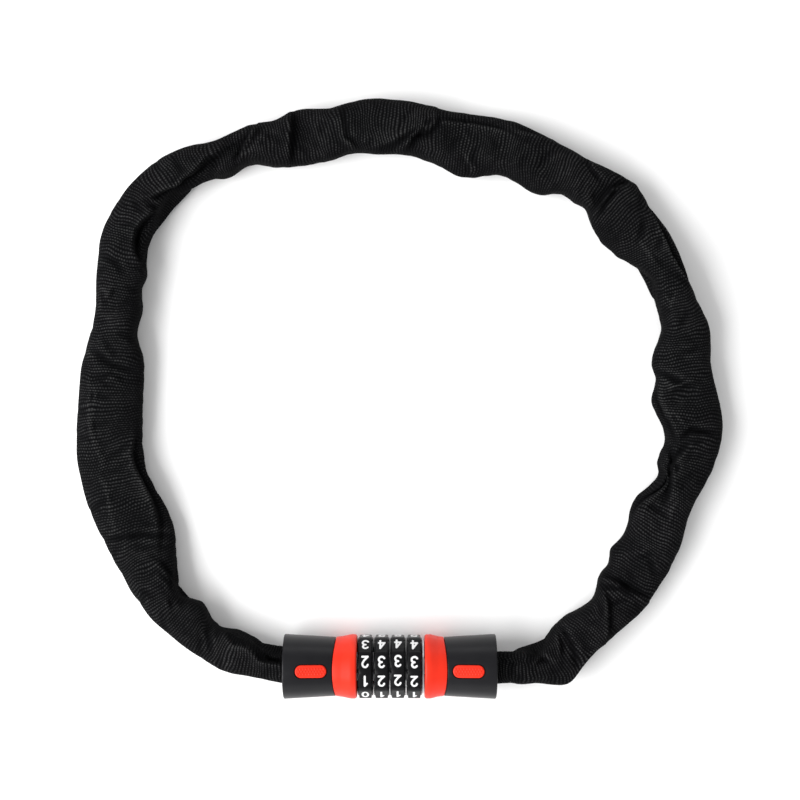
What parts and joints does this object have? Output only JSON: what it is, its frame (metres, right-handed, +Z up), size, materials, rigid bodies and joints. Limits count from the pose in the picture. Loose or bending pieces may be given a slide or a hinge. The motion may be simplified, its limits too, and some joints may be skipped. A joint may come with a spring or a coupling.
{
  "type": "chain lock",
  "caption": "Resettable combination chain lock, closed in a loop: a steel chain in a woven sleeve whose two ends meet in a barrel with number dials.",
  "frame": {"origin": "middle of the closed loop's footprint, on the surface that the lock lies on", "axes": "+X along the barrel from its fixed end to its plug end, +Y from the barrel across the loop, +Z up off the surface"},
  "size_m": [0.2559, 0.2367, 0.0255],
  "materials": {
    "black_plastic": "satin black moulded plastic",
    "red_plastic": "satin orange-red moulded plastic",
    "dial_plastic": "glossy black moulded plastic with white digits",
    "die_cast_zinc": "die-cast zinc",
    "hardened_steel": "zinc-plated hardened steel",
    "spring_steel": "bright spring steel",
    "woven_sleeve": "black ribbed woven polyester"
  },
  "bodies": {
    "lock_body": {"housing_left": "black_plastic", "collar_left": "red_plastic", "inlay_left": "red_plastic", "core_barrel": "die_cast_zinc", "core_retainer": "hardened_steel", "pressure_washer": "hardened_steel", "reset_spring": "spring_steel", "detent_leaf": "spring_steel", "chain_pin_left": "hardened_steel", "sleeve_left": "woven_sleeve", "chain_link_01": "hardened_steel", "chain_link_02": "hardened_steel", "chain_link_03": "hardened_steel", "chain_link_04": "hardened_steel", "chain_link_05": "hardened_steel", "chain_link_06": "hardened_steel", "chain_link_07": "hardened_steel", "chain_link_08": "hardened_steel", "chain_link_09": "hardened_steel", "chain_link_10": "hardened_steel", "chain_link_11": "hardened_steel", "chain_link_12": "hardened_steel", "chain_link_13": "hardened_steel", "chain_link_14": "hardened_steel", "chain_link_15": "hardened_steel", "chain_link_16": "hardened_steel", "chain_link_17": "hardened_steel"},
    "dial_1": {"dial_1": "dial_plastic", "code_ring_1": "die_cast_zinc"},
    "dial_2": {"dial_2": "dial_plastic", "code_ring_2": "die_cast_zinc"},
    "dial_3": {"dial_3": "dial_plastic", "code_ring_3": "die_cast_zinc"},
    "dial_4": {"dial_4": "dial_plastic", "code_ring_4": "die_cast_zinc"},
    "plug": {"housing_right": "black_plastic", "collar_right": "red_plastic", "inlay_right": "red_plastic", "locking_pin": "hardened_steel", "plug_insert": "die_cast_zinc", "chain_pin_right": "hardened_steel"},
    "chain_right": {"sleeve_right": "woven_sleeve", "chain_link_18": "hardened_steel", "chain_link_19": "hardened_steel", "chain_link_20": "hardened_steel", "chain_link_21": "hardened_steel", "chain_link_22": "hardened_steel", "chain_link_23": "hardened_steel", "chain_link_24": "hardened_steel", "chain_link_25": "hardened_steel", "chain_link_26": "hardened_steel", "chain_link_27": "hardened_steel", "chain_link_28": "hardened_steel", "chain_link_29": "hardened_steel", "chain_link_30": "hardened_steel"}
  },
  "joints": [
    {"name": "dial_1_turn", "type": "hinge", "parent": "lock_body", "child": "dial_1", "pos_m": [-0.0136, -0.1058, 0.01275], "axis": [1, 0, 0], "continuous": true},
    {"name": "dial_2_turn", "type": "hinge", "parent": "lock_body", "child": "dial_2", "pos_m": [-0.0072, -0.1058, 0.01275], "axis": [1, 0, 0], "continuous": true},
    {"name": "dial_3_turn", "type": "hinge", "parent": "lock_body", "child": "dial_3", "pos_m": [-0.0008, -0.1058, 0.01275], "axis": [1, 0, 0], "continuous": true},
    {"name": "dial_4_turn", "type": "hinge", "parent": "lock_body", "child": "dial_4", "pos_m": [0.0056, -0.1058, 0.01275], "axis": [1, 0, 0], "continuous": true},
    {"name": "plug_slide", "type": "slide", "parent": "lock_body", "child": "plug", "axis": [1, 0, 0], "range_m": [0, 0.0291]},
    {"name": "chain_swing", "type": "hinge", "parent": "lock_body", "child": "chain_right", "pos_m": [0.04154, 0.10043, 0.0067], "axis": [0, 0, 1], "range_deg": [0, 8.12]}
  ],
  "couplings": [
    {"joint": "chain_swing", "follows": "plug_slide", "rad_per_m": 4.841}
  ]
}
